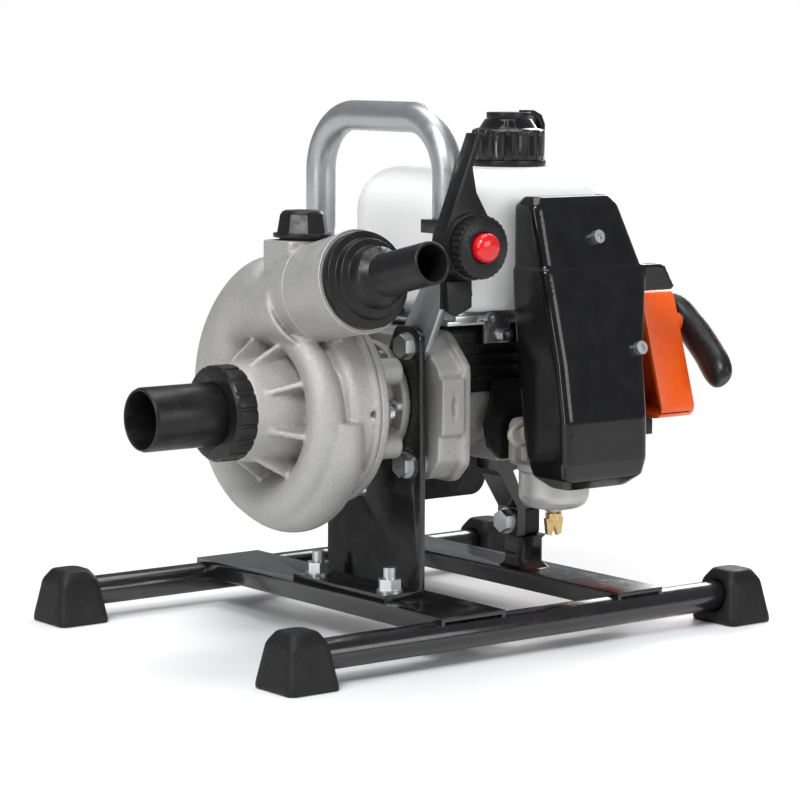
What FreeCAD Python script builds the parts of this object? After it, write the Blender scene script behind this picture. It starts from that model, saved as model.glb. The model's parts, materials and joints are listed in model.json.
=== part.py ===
"""Portable fire pump: a small two-stroke engine driving a centrifugal pump on a tubular skid.

Millimetres, +Z up. The origin is on the ground, under the middle of the machine's overall box.
-X is the suction side, +X the recoil starter, -Y the discharge and air cleaner, +Y the cylinder head.
"""
import FreeCAD, Part
import math
import os

V = FreeCAD.Vector
X_AXIS, Y_AXIS, Z_AXIS = V(1, 0, 0), V(0, 1, 0), V(0, 0, 1)

# ---- driving dimensions ----------------------------------------------------------------------
AXIS_Y, AXIS_Z = -14.0, 147.0           # line shared by the impeller and the crankshaft
SKID_X, SKID_Y = 10.5, 7.4              # middle of the four feet
FOOT_PITCH_X, FOOT_PITCH_Y = 343.4, 247.8
FOOT_LENGTH, FOOT_WIDTH, FOOT_HEIGHT = 36.6, 40.2, 34.0
RAIL_R, RAIL_WALL, RAIL_Z = 9.5, 1.5, 17.7
SHEET = 2.5                             # crossbar sheet
BAR_TOP = RAIL_Z + RAIL_R + SHEET       # top face of the crossbars
BAR_DEPTH = 11.3
PUMP_BAR, ENGINE_BAR = (-60.5, -11.5), (79.1, 116.0)

PLATE_X, PLATE_T, PLATE_HALF = -29.5, 4.0, 47.5
BOLT_Y, BOLT_Z = 34.5, 36.7             # pump bolts, either side of the axis
STUD_X, STUD_Y = -44.5, 37.0            # plate foot studs
HANDLE_X, HANDLE_HALF, HANDLE_TOP = -23.0, 64.5, 322.5
HANDLE_R, HANDLE_WALL, HANDLE_BEND = 9.3, 1.5, 36.0

SUCTION_END = -200.5
COLLAR_X, COLLAR_R, COLLAR_T = -150.5, 29.0, 14.0
BARB_R, BARB_BORE, COLLAR_BORE = 19.2, 15.8, 18.8
VOLUTE_X, RIM_X, RIM_R, DRUM_R = -89.5, -68.9, 61.3, 58.0
CASING_WALL = 4.0
IMPELLER_R = 38.0
OUTLET_TILT = math.radians(12.6)
OUTLET_RISE = 64.3                      # from the pump axis to the discharge axis
OUTLET_FACE = 87.9                      # along the discharge axis, from abreast of the pump axis
OUTLET_R, OUTLET_BARB_R, OUTLET_BORE = 31.0, 12.7, 9.8
OUTLET_LENGTH = 64.6

CYLINDER_X = 60.5                       # plane of the connecting rod, cylinder and carburettor
FAN_X0, FAN_X1 = -20.0, 3.0
BORE_R, STROKE, ROD_LENGTH = 20.0, 34.0, 60.0
CASE_R, CASE_END = 36.0, 118.0
SHAFT_R = 7.5
CARB_Y, CARB_Z = -82.0, 121.0
BOWL_R, BOWL_Z0, BOWL_Z1 = 22.0, 80.5, 104.0
TANK_X, TANK_Y, TANK_Z = (-12.5, 128.0), (-70.0, 50.0), (203.0, 290.0)
CAP_X, CAP_Y = 77.5, -14.0
LEVER_Z, LEVER_Y, HUB_DEPTH = 247.0, -88.0, 16.0
ARM_X = 80.0                            # pump-side face of the engine arm
STARTER_X0, STARTER_X1, STARTER_R = 137.5, 165.5, 47.5
ROPE_Y, ROPE_Z, ROPE_R = -74.0, 190.0, 1.75
GAP = 0.3                               # between pieces that move past one another


# ---- small helpers ---------------------------------------------------------------------------
def box(x, y, z):
    """Block between two limits on each axis."""
    return Part.makeBox(x[1] - x[0], y[1] - y[0], z[1] - z[0], V(x[0], y[0], z[0]))


def rod(start, axis, radius, length):
    return Part.makeCylinder(radius, length, V(*start), axis)


def ring(start, axis, outer, inner, length):
    return rod(start, axis, outer, length).cut(rod(start, axis, inner, length))


def along_x(x0, x1, radius, y=AXIS_Y, z=AXIS_Z):
    """Cylinder parallel to the crankshaft, on its axis unless told otherwise."""
    return rod((x0, y, z), X_AXIS, radius, x1 - x0)


def turned(profile, origin=(0, AXIS_Y, AXIS_Z), axis=X_AXIS):
    """Revolve (distance along axis, radius) points about the axis."""
    spin = FreeCAD.Rotation(X_AXIS, axis)
    points = [V(a, 0, r) for a, r in profile]
    face = Part.Face(Part.makePolygon(points + [points[0]]))
    solid = face.revolve(V(0, 0, 0), X_AXIS, 360)
    solid.Placement = FreeCAD.Placement(V(*origin), spin)
    return Part.Solid(solid) if solid.ShapeType != "Solid" else solid


def prism(points, start, depth):
    """Extrude a closed outline of 3-D points by the vector depth, beginning at start."""
    corners = [V(*p).add(V(*start)) for p in points]
    return Part.Face(Part.makePolygon(corners + [corners[0]])).extrude(V(*depth))


def slab_yz(outline, x0, x1):
    return prism([(0, y, z) for y, z in outline], (x0, 0, 0), (x1 - x0, 0, 0))


def slab_xz(outline, y0, y1):
    return prism([(x, 0, z) for x, z in outline], (0, y0, 0), (0, y1 - y0, 0))


def rounded_rect(x, y, z, radius):
    """Wire in a level plane, with rounded corners."""
    (x0, x1), (y0, y1), k = x, y, radius * (1 - math.sqrt(0.5))
    tips = [(x0 + radius, y0), (x1 - radius, y0), (x1, y0 + radius), (x1, y1 - radius),
            (x1 - radius, y1), (x0 + radius, y1), (x0, y1 - radius), (x0, y0 + radius)]
    mids = [(x1 - k, y0 + k), (x1 - k, y1 - k), (x0 + k, y1 - k), (x0 + k, y0 + k)]
    tips = [V(a, b, z) for a, b in tips]
    edges = []
    for i in range(4):
        edges.append(Part.makeLine(tips[2 * i], tips[2 * i + 1]))
        middle = V(mids[i][0], mids[i][1], z)
        edges.append(Part.Arc(tips[2 * i + 1], middle, tips[(2 * i + 2) % 8]).toShape())
    return Part.Wire(edges)


def loft(wires, ruled=True):
    return Part.makeLoft(wires, True, ruled)


def circle_wire(centre, normal, radius):
    return Part.Wire(Part.makeCircle(radius, V(*centre), normal))


def soften(solid, radius, wanted):
    """Round the edges that the function wanted picks."""
    edges = [e for e in solid.Edges if wanted(e)]
    return solid.makeFillet(radius, edges) if edges else solid


def runs_along(edge, axis):
    a, b = edge.Vertexes[0].Point, edge.Vertexes[-1].Point
    span = b.sub(a)
    return span.Length > 1e-6 and abs(span.dot(axis)) > 0.999 * span.Length


def hexagon(centre, axis, across_flats, height):
    turn = FreeCAD.Rotation(Z_AXIS, axis)
    r = across_flats / math.sqrt(3)
    turns = [math.radians(60 * i) for i in range(6)]
    points = [V(r * math.cos(a), r * math.sin(a), 0) for a in turns]
    solid = Part.Face(Part.makePolygon(points + [points[0]])).extrude(V(0, 0, height))
    solid.Placement = FreeCAD.Placement(V(*centre), turn)
    return solid


def hex_bolt(head_at, axis, thread_r, length):
    """Hex-head bolt: head_at is the middle of the seat, axis points from the seat out of the head."""
    flats, head = thread_r * 3.2, thread_r * 1.3
    back = V(*head_at).sub(V(axis).multiply(length))
    washer = rod(head_at, axis, thread_r * 2.1, 1.2)
    top = V(*head_at).add(V(axis).multiply(1.2))
    return rod(back, axis, thread_r, length + 1.2).fuse([washer, hexagon(top, axis, flats, head)])


def cap_screw(seat, axis, thread_r, length):
    """Round-head screw with a hexagon socket."""
    back = V(*seat).sub(V(axis).multiply(length))
    head = rod(seat, axis, thread_r * 1.9, thread_r * 1.8)
    socket = hexagon(V(*seat).add(V(axis).multiply(thread_r * 0.8)), axis, thread_r * 1.7, thread_r)
    return rod(back, axis, thread_r, length).fuse(head).cut(socket)


def bent_path(points, radii=None):
    """Wire of straight runs joined by tangent arcs; prints each arc's radius."""
    pts = [V(*p) for p in points]
    edges, last, used = [], pts[0], []
    for i in range(1, len(pts) - 1):
        before, after = pts[i - 1].sub(pts[i]), pts[i + 1].sub(pts[i])
        turn = math.pi - before.getAngle(after)
        reach = 0.45 * min(before.Length, after.Length)
        radius = radii[i - 1] if radii else reach / math.tan(turn / 2)
        reach = radius * math.tan(turn / 2)
        before.normalize()
        after.normalize()
        start, end = pts[i].add(V(before).multiply(reach)), pts[i].add(V(after).multiply(reach))
        inward = V(before).add(after).normalize()
        middle = pts[i].add(inward.multiply(radius / math.cos(turn / 2) - radius))
        edges += [Part.makeLine(last, start), Part.Arc(start, middle, end).toShape()]
        last = end
        used.append(round(radius, 1))
    edges.append(Part.makeLine(last, pts[-1]))
    return Part.Wire(edges), used


def swept(points, radius, radii=None, name=""):
    path, used = bent_path(points, radii)
    first = V(*points[1]).sub(V(*points[0]))
    tube = path.makePipeShell([circle_wire(points[0], first, radius)], True, True)
    share = tube.Volume / (math.pi * radius ** 2 * path.Length)
    if name:
        print(f"{name}: length {path.Length:.1f}, arcs {used}, volume share {share:.4f}")
    return tube


def save(name, *shapes):
    """Write one node: a single solid, or a group of separate ones."""
    solids = [s for shape in shapes for s in shape.Solids]
    shape = solids[0] if len(solids) == 1 else Part.makeCompound(solids)
    if not shape.isValid() or len(solids) != len(shapes):
        print("check:", name, len(solids), "solids")
    shape.exportStep(f"parts/{name}.step")


# ---- skid ------------------------------------------------------------------------------------
def rail_y(side):
    return SKID_Y + side * FOOT_PITCH_Y / 2


def rail(side):
    half = FOOT_PITCH_X / 2 + 4
    start = (SKID_X - half, rail_y(side), RAIL_Z)
    return ring(start, X_AXIS, RAIL_R, RAIL_R - RAIL_WALL, 2 * half)


def crossbar(limits):
    """Inverted channel laid over both rails and welded to them."""
    x0, x1 = limits
    y = (rail_y(-1) - 6, rail_y(1) + 6)
    bar = box(limits, y, (BAR_TOP - SHEET, BAR_TOP))
    for flange in ((x0, x0 + SHEET), (x1 - SHEET, x1)):
        bar = bar.fuse(box(flange, y, (BAR_TOP - BAR_DEPTH, BAR_TOP)))
    for side in (-1, 1):
        bar = bar.cut(rod((x0 - 5, rail_y(side), RAIL_Z), X_AXIS, RAIL_R, x1 - x0 + 10))
    holes = [rod((STUD_X, AXIS_Y + side * STUD_Y, BAR_TOP - 5), Z_AXIS, 4.0, 8) for side in (-1, 1)]
    return bar.cut(holes).removeSplitter()


def foot(side_x, side_y):
    """Rubber cap pushed over a rail end."""
    x = SKID_X + side_x * FOOT_PITCH_X / 2
    y = rail_y(side_y)

    def level(z, half_x, half_y):
        return rounded_rect((x - half_x, x + half_x), (y - half_y, y + half_y), z, 5)
    half_x, half_y = FOOT_LENGTH / 2, FOOT_WIDTH / 2
    body = loft([level(0, half_x, half_y), level(4, half_x - 0.5, half_y - 0.5),
                 level(27, half_x - 4.2, half_y - 5.2), level(FOOT_HEIGHT, half_x - 8.5, half_y - 10)])
    inner_end = x - side_x * (half_x + 2)
    bore = rod((inner_end, y, RAIL_Z), V(side_x, 0, 0), RAIL_R, half_x + 6)
    return body.cut(bore)


def feet():
    return [foot(sx, sy) for sx in (-1, 1) for sy in (-1, 1)]


# ---- mounting plate and handle ---------------------------------------------------------------
def mounting_plate():
    back = PLATE_X + PLATE_T
    half, top = PLATE_HALF, AXIS_Z + BOLT_Z + 12
    outline = [(-half, BAR_TOP), (half, BAR_TOP), (half, 124), (46, top), (22, top), (14, top - 18),
               (-14, top - 18), (-22, top), (-46, top), (-half, 124)]
    plate = slab_yz([(AXIS_Y + y, z) for y, z in outline], PLATE_X, back)
    plate = soften(plate, 8, lambda e: runs_along(e, X_AXIS) and e.Vertexes[0].Z > top - 30)
    flange = box((PLATE_X - 27, back), (AXIS_Y - half, AXIS_Y + half), (BAR_TOP, BAR_TOP + PLATE_T))
    plate = plate.fuse(flange)
    holes = [along_x(PLATE_X - 1, back + 1, 24.5)]
    for sy in (-1, 1):
        holes.append(rod((STUD_X, AXIS_Y + sy * STUD_Y, BAR_TOP - 1), Z_AXIS, 4.1, 8))
        for sz in (-1, 1):
            holes.append(along_x(PLATE_X - 1, back + 1, 4.1, AXIS_Y + sy * BOLT_Y, AXIS_Z + sz * BOLT_Z))
    return plate.cut(holes + neck_holes())


def foot_studs():
    """Two studs through crossbar and plate foot, each with washer and nut."""
    pieces = []
    for sy in (-1, 1):
        y, seat = AXIS_Y + sy * STUD_Y, BAR_TOP + PLATE_T
        stud = rod((STUD_X, y, BAR_TOP - 8), Z_AXIS, 4.0, 27)
        head = hexagon((STUD_X, y, BAR_TOP - SHEET - 5.3), Z_AXIS, 13, 5.3)
        washer = rod((STUD_X, y, seat), Z_AXIS, 8.2, 1.5)
        nut = hexagon((STUD_X, y, seat + 1.5), Z_AXIS, 13, 6.5)
        pieces.append(stud.fuse([head, washer, nut]).removeSplitter())
    return pieces


def handle_strap(side):
    """Flattened leg end, running inwards from the tube to the upper pump bolt."""
    back = PLATE_X + PLATE_T
    bolt_z = AXIS_Z + BOLT_Z
    outline = [(HANDLE_HALF + 9.2, 234), (HANDLE_HALF - 13, 234), (24, bolt_z + 9), (26, bolt_z - 9),
               (38, bolt_z - 12), (47, bolt_z - 3)]
    strap = slab_yz([(AXIS_Y + side * y, z) for y, z in outline], back, back + 5)
    strap = soften(strap, 5, lambda e: runs_along(e, X_AXIS) and e.Vertexes[0].Z < 200)
    return strap.cut(along_x(back - 1, back + 6, 4.1, AXIS_Y + side * BOLT_Y, bolt_z))


def handle_transition(side):
    """The round leg squashed into the strap."""
    y = AXIS_Y + side * HANDLE_HALF
    back = PLATE_X + PLATE_T
    edges = sorted((y + side * 9.2, y - side * 13))
    middle_edges = sorted((y + side * 9.2, y - side * 11.5))
    lower = rounded_rect((back, back + 5), edges, 233.5, 2)
    middle = rounded_rect((back - 1.5, back + 7.5), middle_edges, 241, 4)
    upper = circle_wire((HANDLE_X, y, 252), Z_AXIS, HANDLE_R)
    return loft([lower, middle]).fuse(Part.makeLoft([middle, upper], True, False))


def carry_handle():
    top, half = HANDLE_TOP, HANDLE_HALF
    route = [(HANDLE_X, AXIS_Y + half, 252), (HANDLE_X, AXIS_Y + half, top),
             (HANDLE_X, AXIS_Y - half, top), (HANDLE_X, AXIS_Y - half, 252)]
    outer = swept(route, HANDLE_R, [HANDLE_BEND] * 2)
    inner = swept(route, HANDLE_R - HANDLE_WALL, [HANDLE_BEND] * 2)
    tube = outer.cut(inner)
    for side in (-1, 1):
        tube = tube.fuse([handle_transition(side), handle_strap(side)])
    return tube.removeSplitter()


def frame_bolts():
    """Four bolts that hold pump, plate and handle to the engine, and one through the rear mount."""
    bolts = [hex_bolt((ARM_X, AXIS_Y, 61), V(-1, 0, 0), 4.0, 14)]
    for sy in (-1, 1):
        for sz in (-1, 1):
            seat = (PLATE_X, AXIS_Y + sy * BOLT_Y, AXIS_Z + sz * BOLT_Z)
            bolts.append(hex_bolt(seat, V(-1, 0, 0), 4.0, 17 if sz > 0 else 12))
    return bolts


# ---- pump ------------------------------------------------------------------------------------
def snail_station(turn, shrink):
    """Round section of the snail; turn is 0 at -Y and grows by way of the bottom."""
    centre_r, section = 47 + 9.2 * turn - 1.35 * turn ** 2, 13.0 + 4.05 * turn
    outward = V(0, -math.cos(turn), -math.sin(turn))
    centre = V(VOLUTE_X, AXIS_Y, AXIS_Z).add(outward.multiply(centre_r))
    direction = V(0, math.sin(turn), -math.cos(turn))
    return circle_wire(centre, direction, section - shrink)


def outlet_point(distance):
    """Point on the discharge axis; distance is measured from abreast of the pump axis."""
    across = V(0, math.sin(OUTLET_TILT), math.cos(OUTLET_TILT))
    ahead = V(0, -math.cos(OUTLET_TILT), math.sin(OUTLET_TILT))
    return V(VOLUTE_X, AXIS_Y, AXIS_Z).add(across.multiply(OUTLET_RISE)).add(ahead.multiply(distance))


OUTLET_AXIS = V(0, -math.cos(OUTLET_TILT), math.sin(OUTLET_TILT))


def snail(shrink, first):
    """Growing snail passage, from the first angle on, turning into the discharge pipe."""
    turns = [math.radians(a) for a in range(first, 215, 30)]
    wires = [snail_station(t, shrink) for t in turns]
    for distance, radius in ((-24, 26.6), (0, 28.0), (30, 29.6)):
        wires.append(circle_wire(outlet_point(distance), OUTLET_AXIS, radius - shrink))
    return Part.makeLoft(wires, True, False)


def outlet_turned(profile):
    """Revolve about the discharge axis; distances start abreast of the pump axis."""
    return turned(profile, outlet_point(0), OUTLET_AXIS)


def outlet_pipe(shrink, start, end):
    return outlet_turned([(start, 0), (start, 29.5 - shrink), (60, 30 - shrink), (end, OUTLET_R - shrink),
                          (end, 0)])


def casing_ribs():
    """Eight webs from the suction hub out to the snail."""
    ribs = []
    for i in range(8):
        web = prism([(COLLAR_X + 18, 0, 28), (COLLAR_X + 24, 0, 33), (VOLUTE_X - 12, 0, 50),
                     (VOLUTE_X, 0, 46), (VOLUTE_X, 0, 20), (COLLAR_X + 18, 0, 20)], (0, -1.8, 0), (0, 3.6, 0))
        web.Placement = FreeCAD.Placement(V(0, AXIS_Y, AXIS_Z), FreeCAD.Rotation(X_AXIS, 45 * i + 18))
        ribs.append(web)
    return ribs


def fill_boss():
    """Raised pad for the priming plug on top of the discharge pipe."""
    pad = box((VOLUTE_X - 19.5, VOLUTE_X + 17), (-36.5, -7), (205, BOSS_TOP))
    return soften(pad, 2.5, lambda e: runs_along(e, Z_AXIS))


PLUG_Y, BOSS_TOP = -22.0, 249.4


def volute_casing():
    hub_x = COLLAR_X + COLLAR_T
    hub = [(hub_x, 0), (hub_x, 29), (hub_x + 6, 30), (VOLUTE_X - 8, 34), (VOLUTE_X - 4, 37)]
    drum = [(VOLUTE_X - 3, 46), (VOLUTE_X + 2, DRUM_R - 2), (VOLUTE_X + 5, DRUM_R), (RIM_X - 4, DRUM_R),
            (RIM_X - 4, RIM_R), (RIM_X, RIM_R), (RIM_X, 0)]
    outside = turned(hub + drum)
    outside = outside.fuse([snail(0, 4), outlet_pipe(0, 28, OUTLET_FACE - 4), fill_boss()] + casing_ribs())
    inside = turned([(hub_x - 1, 0), (hub_x - 1, BARB_BORE + 1), (VOLUTE_X - 1, BARB_BORE + 1),
                     (VOLUTE_X + 1, IMPELLER_R + 4), (RIM_X - 5, IMPELLER_R + 4), (RIM_X - 5, 54),
                     (RIM_X + 1, 54), (RIM_X + 1, 0)])
    casing = outside.cut(snail(CASING_WALL, 9)).cut(outlet_pipe(CASING_WALL, 20, OUTLET_FACE)).cut(inside)
    casing = casing.cut(rod((VOLUTE_X, PLUG_Y, 205), Z_AXIS, 10.5, 50))
    return casing.cut([along_x(RIM_X, RIM_X + 60, RIM_R + 0.2)] + rim_holes()).removeSplitter()


def suction_barb():
    """Hose tail with a shoulder held by the collar."""
    shoulder = COLLAR_X + COLLAR_T - 5
    profile = [(SUCTION_END, BARB_BORE + 1.4), (SUCTION_END, BARB_R - 0.8), (SUCTION_END + 2, BARB_R),
               (COLLAR_X - 0.5, BARB_R), (COLLAR_X - 0.5, COLLAR_BORE), (shoulder, COLLAR_BORE),
               (shoulder, 24.5), (shoulder + 5, 24.5), (shoulder + 5, BARB_BORE),
               (SUCTION_END + 8, BARB_BORE)]
    return turned(profile)


def suction_collar():
    """Screwed ring that clamps the hose tail to the casing hub."""
    x1 = COLLAR_X + COLLAR_T
    body = turned([(COLLAR_X, COLLAR_BORE), (COLLAR_X, COLLAR_R - 2), (COLLAR_X + 2, COLLAR_R),
                   (x1, COLLAR_R), (x1, 24.5), (x1 - 5, 24.5), (x1 - 5, COLLAR_BORE)])
    grooves = [along_x(COLLAR_X - 1, x1 + 1, 1.6, AXIS_Y + (COLLAR_R + 0.6) * math.cos(a),
                       AXIS_Z + (COLLAR_R + 0.6) * math.sin(a))
               for a in [math.radians(20 * i + 10) for i in range(18)]]
    return body.cut(grooves)


def discharge_barb():
    """Flanged hose tail for the delivery hose."""
    face, tip = OUTLET_FACE - 4, OUTLET_FACE + OUTLET_LENGTH
    flange = [(face, 20), (face, 29), (face + 6.5, 29), (face + 7.5, 24.5), (face + 12, 23.5),
              (face + 13, 19), (face + 20, 17.5), (face + 24, OUTLET_BARB_R)]
    tail = [(tip - 1, OUTLET_BARB_R), (tip, OUTLET_BARB_R - 0.8), (tip, OUTLET_BORE + 1),
            (tip - 6, OUTLET_BORE), (face + 16, OUTLET_BORE)]
    return outlet_turned(flange + tail)


PLUG_BASE = BOSS_TOP + 1.5


def octagon(z, radius):
    turns = [math.radians(45 * i + 22.5) for i in range(9)]
    return Part.makePolygon([V(VOLUTE_X + radius * math.cos(a), PLUG_Y + radius * math.sin(a), z)
                             for a in turns])


def priming_plug():
    lip = rod((VOLUTE_X, PLUG_Y, PLUG_BASE), Z_AXIS, 17.8, 2.5)
    head = loft([octagon(PLUG_BASE + 2, 16), octagon(PLUG_BASE + 13.5, 14), octagon(PLUG_BASE + 16, 12)])
    thread = rod((VOLUTE_X, PLUG_Y, PLUG_BASE - 14), Z_AXIS, 10.2, 14.5)
    hollow = rod((VOLUTE_X, PLUG_Y, PLUG_BASE - 15), Z_AXIS, 7.5, 16)
    return head.fuse([lip, thread]).cut(hollow)


def priming_gasket():
    return ring((VOLUTE_X, PLUG_Y, BOSS_TOP + 0.05), Z_AXIS, 14, 10.5, 1.15)


def impeller():
    """Semi-open wheel with six swept vanes."""
    x0 = RIM_X - 17
    wheel = turned([(x0 - 5, 0), (x0 - 4, 5), (x0, 9.5), (x0 + 9, 12), (x0 + 9.5, IMPELLER_R),
                    (x0 + 12, IMPELLER_R), (x0 + 12, 6), (x0 + 1, 6), (x0 + 1, 0)])
    vanes = []
    for i in range(6):
        a = math.radians(60 * i)
        outline = []
        for r, sweep, thick in ((10, 0, 0.12), (24, 0.55, 0.06), (37, 1.25, 0.04)):
            outline.append((r, a + sweep - thick))
        for r, sweep, thick in ((37, 1.25, 0.04), (24, 0.55, 0.06), (10, 0, 0.12)):
            outline.append((r, a + sweep + thick))
        vanes.append(slab_yz([(AXIS_Y + r * math.cos(t), AXIS_Z + r * math.sin(t)) for r, t in outline],
                             x0 + 1, x0 + 10))
    return wheel.fuse(vanes).removeSplitter()


def pump_back_cover():
    """Cast bracket between casing and plate: back wall, seal pocket, bosses, webs and neck flange."""
    x1 = PLATE_X
    rim = [(RIM_X - 4.5, 9), (RIM_X - 4.5, 53.9), (RIM_X, 53.9), (RIM_X, RIM_R), (RIM_X + 6, RIM_R)]
    cone = [(RIM_X + 6, 34), (x1 - 8, 29), (x1 - 6, 29)]
    neck = [(x1 - 6, 38), (x1, 38), (x1, 24.4), (x1 + 3.5, 24.4), (x1 + 3.5, 9)]
    body = turned(rim + cone + neck)
    ribs = []
    for i in range(6):
        a = math.radians(60 * i + 30)
        y, z = AXIS_Y + 45 * math.cos(a), AXIS_Z + 45 * math.sin(a)
        boss = along_x(RIM_X + 4, RIM_X + 27, 8.3, y, z).cut(along_x(RIM_X + 20, RIM_X + 28, 3, y, z))
        outline = [(RIM_X + 4, 0, 20), (RIM_X + 4, 0, 52), (RIM_X + 10, 0, 48), (x1 - 8, 0, 37),
                   (x1 - 8, 0, 20)]
        web = prism(outline, (0, -2.5, 0), (0, 5, 0))
        web.Placement = FreeCAD.Placement(V(0, AXIS_Y, AXIS_Z), FreeCAD.Rotation(X_AXIS, 60 * i - 60))
        ribs += [boss, web]
    bore = along_x(RIM_X - 10, x1 + 10, 9.5)
    pocket = along_x(RIM_X - 5, RIM_X + 8, 15.5)
    return body.fuse(ribs).cut([bore, pocket] + rim_holes() + neck_holes()).removeSplitter()


def rim_points():
    turns = [math.radians(60 * i) for i in range(6)]
    return [(AXIS_Y + 57.4 * math.cos(a), AXIS_Z + 57.4 * math.sin(a)) for a in turns]


def rim_holes():
    return [along_x(RIM_X - 6, RIM_X + 7, 2.0, y, z) for y, z in rim_points()]


def neck_points():
    turns = [math.radians(60 * i) for i in range(6)]
    return [(AXIS_Y + 33.5 * math.cos(a), AXIS_Z + 33.5 * math.sin(a)) for a in turns]


def neck_holes():
    return [along_x(PLATE_X - 6, PLATE_X + PLATE_T, 2.0, y, z) for y, z in neck_points()]


def casing_screws():
    """Socket screws: six through the cover's rim into the casing, six through its neck into the plate."""
    rim = [cap_screw((RIM_X + 6, y, z), X_AXIS, 2.0, 10) for y, z in rim_points()]
    return rim + [cap_screw((PLATE_X - 6, y, z), V(-1, 0, 0), 2.0, 10) for y, z in neck_points()]


def seal_head():
    return ring((RIM_X - 3.8, AXIS_Y, AXIS_Z), X_AXIS, 13.5, SHAFT_R, 6.7)


# ---- engine: rotating and reciprocating parts ------------------------------------------------
WEB_GAP, WEB_T, WEB_R = 6.0, 10.5, 27.0


def crank_half(front):
    """One journal with its web; the front one carries on through the pump as its shaft."""
    s = -1 if front else 1
    inner = CYLINDER_X + s * WEB_GAP
    outer = inner + s * WEB_T
    web = along_x(min(inner, outer), max(inner, outer), WEB_R)
    notch = box((min(inner, outer) - 1, max(inner, outer) + 1), (AXIS_Y + 4, AXIS_Y + 40),
                (AXIS_Z + 15, AXIS_Z + 40))
    lower = notch.mirror(V(0, 0, AXIS_Z), Z_AXIS)
    web = web.cut([notch, lower])
    if front:
        journal = turned([(RIM_X - 16, 0), (RIM_X - 16, 6), (RIM_X - 4, 6), (RIM_X - 4, SHAFT_R),
                          (outer, SHAFT_R), (outer, 0)])
    else:
        journal = along_x(outer, STARTER_X0 - 8, SHAFT_R)
    return web.fuse(journal).removeSplitter()


def flywheel():
    x0 = FAN_X0 + 4.5
    wheel = turned([(x0, SHAFT_R), (x0, 16), (x0 + 8, 17), (x0 + 9, 39), (x0 + 13, 39), (x0 + 13, SHAFT_R)])
    fins = []
    for i in range(14):
        fin = box((x0 + 1.5, x0 + 10), (20, 38.5), (-1.1, 1.1))
        fin.Placement = FreeCAD.Placement(V(0, AXIS_Y, AXIS_Z), FreeCAD.Rotation(X_AXIS, 360 / 14 * i))
        fins.append(fin)
    magnet = box((x0 + 13, x0 + 15), (22, 36), (-7, 7))
    magnet.Placement = FreeCAD.Placement(V(0, AXIS_Y, AXIS_Z), FreeCAD.Rotation(X_AXIS, 60))
    return wheel.fuse(fins + [magnet]).removeSplitter()


def main_bearings():
    """Ball bearings either side of the crank chamber, drawn as whole rings."""
    return [ring((x, AXIS_Y, AXIS_Z), X_AXIS, 17.5, SHAFT_R + 0.05, 11) for x in (30.0, 80.0)]


PIN_Y = AXIS_Y + STROKE / 2
GUDGEON_Y = PIN_Y + ROD_LENGTH
CROWN_Y = GUDGEON_Y + 20


def piston():
    body = rod((CYLINDER_X, CROWN_Y - 34, AXIS_Z), Y_AXIS, BORE_R - 0.05, 34)
    inside = rod((CYLINDER_X, CROWN_Y - 35, AXIS_Z), Y_AXIS, BORE_R - 3.5, 31)
    pin_hole = along_x(CYLINDER_X - 25, CYLINDER_X + 25, 5, GUDGEON_Y)
    grooves = [ring((CYLINDER_X, CROWN_Y - depth, AXIS_Z), Y_AXIS, BORE_R + 1, BORE_R - 0.6, 1.6)
               for depth in (5.0, 9.0)]
    bosses = []
    for s in (-1, 1):
        x0 = CYLINDER_X + (6.5 if s > 0 else -17)
        bosses.append(along_x(x0, x0 + 10.5, 8, GUDGEON_Y))
    return body.cut(inside).fuse(bosses).common(body).cut([pin_hole] + grooves)


def gudgeon_pin():
    return ring((CYLINDER_X - 17, GUDGEON_Y, AXIS_Z), X_AXIS, 5, 3, 34)


def connecting_rod():
    half = WEB_GAP - GAP
    big = along_x(CYLINDER_X - half, CYLINDER_X + half, 11, PIN_Y)
    small = along_x(CYLINDER_X - half, CYLINDER_X + half, 8, GUDGEON_Y)
    shank = box((CYLINDER_X - 3, CYLINDER_X + 3), (PIN_Y, GUDGEON_Y), (AXIS_Z - 6, AXIS_Z + 6))
    holes = [along_x(CYLINDER_X - 20, CYLINDER_X + 20, 6.5, PIN_Y),
             along_x(CYLINDER_X - 20, CYLINDER_X + 20, 5, GUDGEON_Y)]
    return big.fuse([small, shank]).cut(holes).removeSplitter()


def crankpin():
    half = WEB_GAP - GAP
    return along_x(CYLINDER_X - half, CYLINDER_X + half, 6.5, PIN_Y)


# ---- engine: castings ------------------------------------------------------------------------
def fan_slab(grow, x0, x1):
    """Eight-sided block of the fan housing, with its corners rounded."""
    side, top, bottom, cut = 54 + grow, 42 + grow, 46 + grow, 20
    outline = [(-side, -bottom + 12), (-side + 12, -bottom), (side - 12, -bottom), (side, -bottom + 12),
               (side, top - cut), (side - cut, top), (-side + cut, top), (-side, top - cut)]
    slab = slab_yz([(AXIS_Y + y, AXIS_Z + z) for y, z in outline], x0, x1)
    return soften(slab, 9, lambda e: runs_along(e, X_AXIS))


def fan_pad():
    """Flat raised pad on the housing's side, with a narrow pointed slot."""
    side = AXIS_Y - 54
    pad = box((FAN_X0, FAN_X1 - 6), (side - 3.5, side + 1), (AXIS_Z - 18, AXIS_Z + 18))
    pad = soften(pad, 2, lambda e: runs_along(e, X_AXIS))
    lens = [(-10.5, AXIS_Z - 15), (-8.5, AXIS_Z), (-10.5, AXIS_Z + 15), (-12.5, AXIS_Z)]
    slot = slab_xz(lens, side - 5, side - 1.5)
    return pad.cut(slot)


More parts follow.
